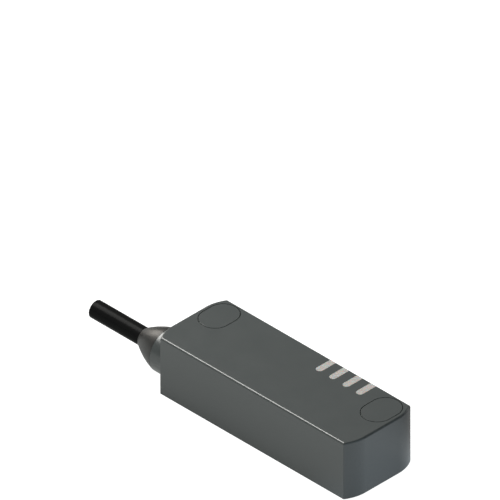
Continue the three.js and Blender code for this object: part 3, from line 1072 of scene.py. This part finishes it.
@dataclass(frozen=True)
class Package:
    """A moulded package on the board: its node, its finish, and its leads on each side.

    The margin is how far the leads reach out of the body, within the package's own box.
    """

    node: str
    finish: Finish
    leads_x: int
    leads_y: int
    lead_width: float
    margin: float = 0.7 * MM

    def build(self) -> None:
        """Make the moulded body and its bent leads."""
        low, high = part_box(self.node)
        margin_x = self.margin if self.leads_x else 0.0
        margin_y = self.margin if self.leads_y else 0.0
        inset = Vector((margin_x, margin_y, 0))
        stand_off = Vector((0, 0, 0.08 * MM))
        height = high.z - low.z
        body = block(low + inset + stand_off, high - inset)
        body.bevel(lambda edge: is_level(edge, high.z), 0.16 * MM, 1)
        body.bevel(lambda edge: climbs(edge, 0.3 * height), 0.08 * MM, 2)
        dot = Solid()
        mark = Vector((low.x + margin_x + 0.7 * MM, low.y + margin_y + 0.7 * MM, high.z))
        Pen(dot.bm, mark - Z_AXIS * 0.05 * MM).line_to(
            mark + Vector((0.3, 0, -0.05)) * MM, mark + Vector((0.3, 0, 0.3)) * MM, mark + Z_AXIS * 0.3 * MM
        )
        dot.turn(mark, 20, Z_AXIS)
        body.combine(Operation.CUT, dot)
        deliver(body, f"{self.node}_body", self.finish, replaces=[self.node])

        leads = Solid()
        long, wide = high.x - low.x, high.y - low.y
        sides = ((self.leads_x, long, wide), (self.leads_y, wide, long))
        for turn, (count, reach, across) in enumerate(sides * 2):
            pitch = (across - 2 * self.margin) / max(count, 1)
            for index in range(count):
                lead = self.lead(reach / 2, height)
                lead.move((0, (index - (count - 1) / 2) * pitch, 0))
                leads.absorb(lead.rotate(turn * math.pi / 2, "Z"))
        leads.move(((low.x + high.x) / 2, (low.y + high.y) / 2, low.z))
        deliver(leads, f"{self.node}_leads", CRYSTAL_CAN)

    def lead(self, reach: float, height: float) -> Solid:
        """Bend one gull-wing lead that ends at X = reach, on the board at Z = 0.

        Args:
            reach: From the package's middle to the lead's tip.
            height: The package's height.

        Returns:
            The lead.
        """
        thick = 0.13 * MM
        root = reach - self.margin - 0.1 * MM
        knee = reach - 0.62 * self.margin
        foot = reach - 0.4 * self.margin
        top = 0.5 * height
        outline = [
            (root, top), (knee, top), (foot, thick), (reach, thick), (reach, 0), (foot - thick, 0),
            (knee - thick, top - thick), (root, top - thick),
        ]
        side = -self.lead_width / 2
        return slab([(x, side, z) for x, z in outline], Vector((0, self.lead_width, 0)))


@dataclass
class Electronics:
    """The board, the parts soldered on it, the antenna and the resin below."""

    turns: int = 9
    turn_facets: int = 4
    pad_radius: float = 0.8 * MM
    solder_radius: float = 0.62 * MM
    solder_height: float = 0.8 * MM
    resin_creep: float = 0.6 * MM
    resin_dip: float = 0.18 * MM
    near_pads_x: float = -21.4 * MM
    far_pads_x: float = -17.6 * MM
    first_pad_y: float = -5 * MM
    pad_pitch: float = 2 * MM
    flange: float = 0.6 * MM
    hub_radius: float = 2.5 * MM
    former_bore: float = 1.4 * MM
    former_edge: float = 0.12 * MM
    lead_radius: float = 0.2 * MM

    @classmethod
    def pad_of_core(cls, index: int) -> Vector:
        """Give the middle of the pad that a core of the cable is soldered to.

        Args:
            index: The core's number, in the order of CORE_COLOURS.

        Returns:
            The middle of the pad, on the board's top.
        """
        x = cls.far_pads_x if index >= CORES_IN_ROW else cls.near_pads_x
        y = cls.first_pad_y + cls.pad_pitch * (index % CORES_IN_ROW)
        return Vector((x, y, top_of("circuit_board")))

    def pad_places(self) -> list[Vector]:
        """Give the middles of all wire pads: the cable's eight and the antenna's two.

        Returns:
            The middles, on the board's top.
        """
        pads = [self.pad_of_core(index) for index in range(len(CORE_COLOURS))]
        for node in ("antenna_lead_start", "antenna_lead_finish"):
            centre = node_centre(node)
            pads.append(Vector((centre.x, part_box(node)[1].y - 0.25 * MM, pads[0].z)))
        return pads

    def board(self) -> None:
        """Build the board with rounded corners, and the resin below it with its sunken top."""
        low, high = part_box("circuit_board")
        board = block(low, high)
        board.bevel(lambda edge: climbs(edge, 0.5 * MM), 1.0 * MM, 5)
        board.bevel(lambda edge: is_level(edge, low.z) or is_level(edge, high.z), 0.06 * MM, 1)
        deliver(board, "board", BOARD_LAMINATE, replaces=["circuit_board"])
        slab_low, slab_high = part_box("potting_slab")
        resin = block(slab_low, slab_high)
        resin.bevel(lambda edge: climbs(edge, 0.5 * MM), 1.2 * MM, 6)
        top = max(resin.bm.faces, key=lambda face: face.calc_center_median().z)
        bmesh.ops.inset_region(resin.bm, faces=[top], thickness=self.resin_creep)
        bmesh.ops.translate(resin.bm, verts=top.verts[:], vec=(0, 0, -self.resin_dip))
        resin.bevel(lambda edge: is_level(edge, slab_low.z), 0.3 * MM, 3)
        deliver(resin, "resin", POTTING_RESIN, replaces=["potting_slab"])

    def solder(self) -> None:
        """Lay the pads and the solder that holds each wire."""
        joints = Solid()
        for place in self.pad_places():
            joint = Solid()
            profile = [
                (0, 0), (self.pad_radius, 0), (self.pad_radius, 0.05 * MM), (self.solder_radius, 0.06 * MM),
                (0.55 * self.solder_radius, 0.3 * MM), (0.45 * self.solder_radius, self.solder_height),
                (0, self.solder_height + 0.08 * MM),
            ]
            points = [place + Vector((radius, 0, height)) for radius, height in profile]
            Pen(joint.bm, points[0]).line_to(*points[1:])
            joints.absorb(joint.turn(place, 28, Z_AXIS))
        deliver(joints, "solder_joints", CRYSTAL_CAN)

    def packages(self) -> None:
        """Place every moulded package."""
        for package in (
            Package("controller_chip", CHIP_EPOXY, 8, 8, 0.3 * MM),
            Package("transceiver_chip", CHIP_EPOXY, 0, 5, 0.4 * MM, 0.6 * MM),
            Package("output_driver_1", CHIP_EPOXY, 0, 3, 0.45 * MM, 0.5 * MM),
            Package("output_driver_2", CHIP_EPOXY, 0, 3, 0.45 * MM, 0.5 * MM),
            Package("voltage_regulator", CHIP_EPOXY, 0, 3, 0.8 * MM, 0.6 * MM),
            Package("suppressor_diode", CHIP_EPOXY, 1, 0, 1.4 * MM, 0.4 * MM),
            Package("storage_capacitor", CAPACITOR_CASE, 1, 0, 2.2 * MM, 0.35 * MM),
        ):
            package.build()

    def crystal(self) -> None:
        """Build the crystal: a drawn can on a flanged base."""
        low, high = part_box("crystal")
        base = block(low, (high.x, high.y, low.z + 0.15 * MM))
        can = block(low + Vector((0.2, 0.2, 0.05)) * MM, high - Vector((0.2, 0.2, 0)) * MM)
        for part in (base, can):
            part.bevel(lambda edge: climbs(edge, 0.05 * MM), 0.25 * MM, 4)
        can.bevel(lambda edge: is_level(edge, high.z), 0.08 * MM, 3)
        deliver(base.combine(Operation.JOIN, can), "crystal_can", CRYSTAL_CAN, replaces=["crystal"])

    def status_led(self, index: int) -> None:
        """Build one light-emitting diode: a tray with a bowl of lens resin.

        Args:
            index: The diode's number, from 0.
        """
        node = f"status_led_{index + 1}"
        low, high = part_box(node)
        tray = block(low, high)
        tray.bevel(lambda edge: climbs(edge, 0.3 * MM), 0.15 * MM, 3)
        floor = Vector((low.x, low.y, high.z - 0.25 * MM))
        bowl = block(floor + Vector((0.22, 0.22, 0)) * MM, high + Vector((-0.22, -0.22, 0.5)) * MM)
        tray.combine(Operation.CUT, bowl)
        lens = block(low + Vector((0.3, 0.3, 0.1)) * MM, high - Vector((0.3, 0.3, 0.08)) * MM)
        lens.bevel(lambda edge: climbs(edge, 0.3 * MM), 0.1 * MM, 3)
        lens.bevel(lambda edge: is_level(edge, high.z - 0.08 * MM), 0.1 * MM, 3)
        deliver(tray.combine(Operation.JOIN, lens), f"diode_{index + 1}", LED_LENS, replaces=[node])

    def racetrack(self, profile: Sequence[Sequence[float]], straight: float, centre: Vector) -> Solid:
        """Sweep a closed profile of (radius, depth) points round an oval that lies along X.

        Args:
            profile: Radius from the oval's centre line and depth along Y, point by point.
            straight: The straight stretch of the oval, along X.
            centre: The middle of the oval, with Y where depth 0 lies.

        Returns:
            The closed body.
        """
        solid = chain([(straight / 2, depth, radius) for radius, depth in profile])
        ends = solid.tidy().bm.verts[:] + solid.bm.edges[:]
        for side in (1, -1):
            ends = spin(solid.bm, ends, (side * straight / 2, 0, 0), Y_AXIS, math.pi, 28)
            made = bmesh.ops.extrude_edge_only(
                solid.bm, edges=[item for item in ends if isinstance(item, bmesh.types.BMEdge)]
            )["geom"]
            moved = [item for item in made if isinstance(item, bmesh.types.BMVert)]
            bmesh.ops.translate(solid.bm, verts=moved, vec=(-side * straight, 0, 0))
            ends = moved + [item for item in made if isinstance(item, bmesh.types.BMEdge)]
        return solid.tidy().move(centre)

    def antenna(self) -> None:
        """Build the antenna: a flanged bobbin, its winding turn by turn and the ferrite in it."""
        low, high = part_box("antenna_bobbin")
        centre = Vector(((low.x + high.x) / 2, low.y, (low.z + high.z) / 2))
        depth = high.y - low.y
        radius = (high.z - low.z) / 2
        straight = (high.x - low.x) - 2 * radius
        flange, hub, hole, soft = self.flange, self.hub_radius, self.former_bore, self.former_edge
        profile = [
            (hole, 0), (radius - soft, 0), (radius, soft), (radius, flange - soft), (radius - soft, flange),
            (hub, flange), (hub, depth - flange), (radius - soft, depth - flange),
            (radius, depth - flange + soft), (radius, depth - soft), (radius - soft, depth), (hole, depth),
        ]
        bobbin = self.racetrack(profile, straight, centre)
        deliver(bobbin, "coil_former", BOBBIN_PLASTIC, replaces=["antenna_bobbin"])

        wind_low, wind_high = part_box("antenna_winding")
        outer = (wind_high.z - wind_low.z) / 2
        start, end = wind_low.y - low.y, wind_high.y - low.y
        pitch = (end - start) / self.turns
        scallops = []
        for turn in range(self.turns):
            for facet in range(self.turn_facets):
                angle = math.pi * (facet + 0.5) / self.turn_facets
                place = start + pitch * (turn + 0.5 - 0.5 * math.cos(angle))
                scallops.append((outer - 0.5 * pitch * (1 - math.sin(angle)), place))
        profile = [(hub + 0.2 * MM, start), *scallops, (hub + 0.2 * MM, end)]
        winding = self.racetrack(profile, straight, centre)
        deliver(winding, "coil_winding", WINDING_COPPER, replaces=["antenna_winding"])

        core_low, core_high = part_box("antenna_core")
        core_radius = (core_high.z - core_low.z) / 2
        near, far = core_low.y - low.y, core_high.y - low.y
        ferrite = oval(2 * core_radius, straight, near, far)
        ferrite.bevel(lambda edge: is_level(edge, near) or is_level(edge, far), 0.15 * MM, 2)
        ferrite.rotate(math.pi / 2, "Z").rotate(-math.pi / 2, "X").move(centre)
        deliver(ferrite, "coil_ferrite", FERRITE, replaces=["antenna_core"])

    def antenna_lead(self, node: str) -> None:
        """Run one end of the winding over the board's edge to its pad.

        Args:
            node: The CAD node of that end.
        """
        low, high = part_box(node)
        middle = (low.x + high.x) / 2
        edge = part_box("circuit_board")[0].y
        route = [
            (low.y, high.z - 0.3 * MM), (low.y + 0.6 * MM, high.z - 0.4 * MM), (edge + 1.5 * MM, 10 * MM),
            (edge + 1.8 * MM, low.z + 0.3 * MM),
        ]
        lead = wire([Vector((middle, y, z)) for y, z in route], self.lead_radius, 2)
        deliver(lead, f"{node}_wire", WINDING_COPPER, replaces=[node])

    def build(self) -> None:
        """Make every piece of the electronics."""
        self.board()
        self.solder()
        self.packages()
        self.crystal()
        for index in range(LIGHT_COUNT):
            self.status_led(index)
        self.antenna()
        for node in ("antenna_lead_start", "antenna_lead_finish"):
            self.antenna_lead(node)


# ------------------------------------------------------------------ studio


@dataclass
class Studio:
    """Camera, floor, lights and surroundings.

    The camera sees the floor and the room plain white. Everything else sees a dim floor with two
    glows and a soft sky, so these shape what the pieces reflect and no shadow shows on the floor.
    """

    view_width: float = 131.57 * MM
    aim_across: float = -9.31 * MM
    aim_up: float = 46.65 * MM
    distance: float = 0.6
    floor_size: float = 8.0
    dim_grey: float = 0.1
    front_glow: tuple[float, float, float] = (0.87, 0.92, 0.9)
    front_glow_centre: tuple[float, float, float] = (-0.02, 0.26, 0)
    end_glow: tuple[float, float, float] = (0.96, 1.07, 1.15)
    end_glow_centre: tuple[float, float, float] = (0.055, -0.002, 0)
    white: tuple[float, float, float] = (1.0, 1.0, 1.0)
    sky: tuple[float, float, float] = (0.55, 0.58, 0.58)
    sky_direction: tuple[float, float, float] = (0, -0.5, 0.87)
    shade: tuple[float, float, float] = (0.12, 0.13, 0.14)

    def camera(self) -> None:
        """Put up the parallel-view camera, looking down the block's diagonal."""
        back = Vector((1, -1, 1)).normalized()
        across = Vector((1, 1, 0)).normalized()
        up = back.cross(across)
        data = bpy.data.cameras.new("camera")
        data.type = "ORTHO"
        data.ortho_scale = self.view_width
        data.clip_start, data.clip_end = 0.01, 10
        camera = bpy.data.objects.new("camera", data)
        camera.location = across * self.aim_across + up * self.aim_up + back * self.distance
        camera.rotation_mode = "QUATERNION"
        camera.rotation_quaternion = (-back).to_track_quat("-Z", "Y")
        bpy.context.scene.collection.objects.link(camera)
        bpy.context.scene.camera = camera

    def floor(self) -> None:
        """Lay the pale floor, white to the camera and dim with two glows to everything else."""
        solid = Solid()
        bmesh.ops.create_grid(solid.bm, x_segments=1, y_segments=1, size=self.floor_size / 2)
        mesh = bpy.data.meshes.new("floor")
        solid.bm.to_mesh(mesh)
        solid.bm.free()
        floor = bpy.data.objects.new("floor", mesh)
        material = bpy.data.materials.new("floor")
        material.use_nodes = True
        shader = material.node_tree.nodes["Principled BSDF"]
        shader.inputs["Base Color"].default_value = (0.2, 0.2, 0.2, 1)
        shader.inputs["Roughness"].default_value = 0.9
        shader.inputs["Specular IOR Level"].default_value = 0.1
        shader.inputs["Emission Strength"].default_value = 1.0
        tree = material.node_tree
        place = tree.nodes.new("ShaderNodeTexCoord").outputs["Object"]
        beyond = self._span(tree, place, "DISTANCE", self.front_glow_centre, 0.24, 0.30)
        close = self._span(tree, place, "DISTANCE", self.end_glow_centre, 0.04, 0.014)
        glow = self._fade(tree, beyond, self.dim_grey, self.front_glow)
        pool = self._fade(tree, close, glow, self.end_glow)
        seen = tree.nodes.new("ShaderNodeLightPath").outputs["Is Camera Ray"]
        tree.links.new(self._fade(tree, seen, pool, self.white), shader.inputs["Emission Color"])
        mesh.materials.append(material)
        bpy.context.scene.collection.objects.link(floor)

    @staticmethod
    def _span(
        tree: bpy.types.NodeTree,
        place: bpy.types.NodeSocket,
        measure: str,
        vector: Sequence[float],
        start: float,
        end: float,
    ) -> bpy.types.NodeSocket:
        """Give 0 to 1 as a measure between place and vector goes from start to end.

        Args:
            tree: The node tree to add to.
            place: The position or direction that is measured.
            measure: DISTANCE from the vector, or DOT_PRODUCT with it.
            vector: The point or direction to measure against.
            start: The measure that gives 0.
            end: The measure that gives 1.

        Returns:
            The socket with the result.
        """
        against = tree.nodes.new("ShaderNodeVectorMath")
        against.operation = measure
        against.inputs[1].default_value = vector
        tree.links.new(place, against.inputs[0])
        span = tree.nodes.new("ShaderNodeMapRange")
        span.interpolation_type = "SMOOTHSTEP"
        span.inputs["From Min"].default_value = start
        span.inputs["From Max"].default_value = end
        tree.links.new(against.outputs["Value"], span.inputs["Value"])
        return span.outputs["Result"]

    @staticmethod
    def _fade(
        tree: bpy.types.NodeTree,
        factor: bpy.types.NodeSocket,
        first: float | bpy.types.NodeSocket,
        second: Sequence[float],
    ) -> bpy.types.NodeSocket:
        """Mix from a first grey or socket to a second colour by a factor.

        Args:
            tree: The node tree to add to.
            factor: The socket that gives 0 for the first and 1 for the second.
            first: A grey, or the socket of a colour.
            second: The second colour.

        Returns:
            The socket with the mixed colour.
        """
        mix = tree.nodes.new("ShaderNodeMix")
        mix.data_type = "RGBA"
        if isinstance(first, float):
            mix.inputs["A"].default_value = (first, first, first, 1)
        else:
            tree.links.new(first, mix.inputs["A"])
        mix.inputs["B"].default_value = (*second, 1)
        tree.links.new(factor, mix.inputs["Factor"])
        return mix.outputs["Result"]

    def light(
        self, name: str, toward: Sequence[float], size: float, radiance: float, colour: Sequence[float]
    ) -> None:
        """Hang a square soft light that shines on the middle of the housing.

        Args:
            name: The light's name.
            toward: The direction from the housing to the light.
            size: The side of the square, in metres.
            radiance: How bright its surface is.
            colour: Its colour.
        """
        reach = 0.6
        data = bpy.data.lights.new(name, "AREA")
        data.shape = "SQUARE"
        data.size = size
        data.energy = radiance * math.pi * size * size
        data.color = colour
        lamp = bpy.data.objects.new(name, data)
        direction = Vector(toward).normalized()
        lamp.location = direction * reach
        lamp.rotation_mode = "QUATERNION"
        lamp.rotation_quaternion = direction.to_track_quat("Z", "Y")
        bpy.context.scene.collection.objects.link(lamp)

    def surroundings(self) -> None:
        """Light the room softly from above, darker low at the back and high at the back right.

        The camera sees it plain white.
        """
        world = bpy.data.worlds.new("room")
        bpy.context.scene.world = world
        world.use_nodes = True
        tree = world.node_tree
        place = tree.nodes.new("ShaderNodeTexCoord").outputs["Generated"]
        back_right = Vector((1, 1, 1)).normalized()
        open_side = self._span(tree, place, "DOT_PRODUCT", self.sky_direction, -0.2, 0.3)
        shaded = self._span(tree, place, "DOT_PRODUCT", back_right, 0.45, 0.95)
        room = self._fade(tree, open_side, self.dim_grey, self.sky)
        dim = self._fade(tree, shaded, room, self.shade)
        seen = tree.nodes.new("ShaderNodeLightPath").outputs["Is Camera Ray"]
        background = tree.nodes["Background"]
        background.inputs["Strength"].default_value = 1.0
        tree.links.new(self._fade(tree, seen, dim, self.white), background.inputs["Color"])

    def build(self) -> None:
        """Set up the whole studio."""
        scene = bpy.context.scene
        scene.view_settings.view_transform = "Standard"
        self.camera()
        self.floor()
        self.surroundings()
        self.light("key_light", (-0.577, -0.02, 0.816), 0.36, 15.0, (1.0, 0.99, 0.96))
        self.light("rim_light", (-0.9, 0.2, 0.37), 0.22, 7.0, (1.0, 0.94, 0.86))
        self.light("back_fill", (0.1, 1.0, 0.12), 0.5, 1.1, (1.0, 0.99, 0.97))
        self.light("cool_fill", (1.0, 0.1, 0.1), 0.6, 1.0, (0.62, 0.82, 1.0))


def main() -> None:
    """Build the studio and the sensor."""
    Studio().build()
    Housing().build()
    CableEntry().build()
    Electronics().build()


if __name__ == "__main__":
    main()
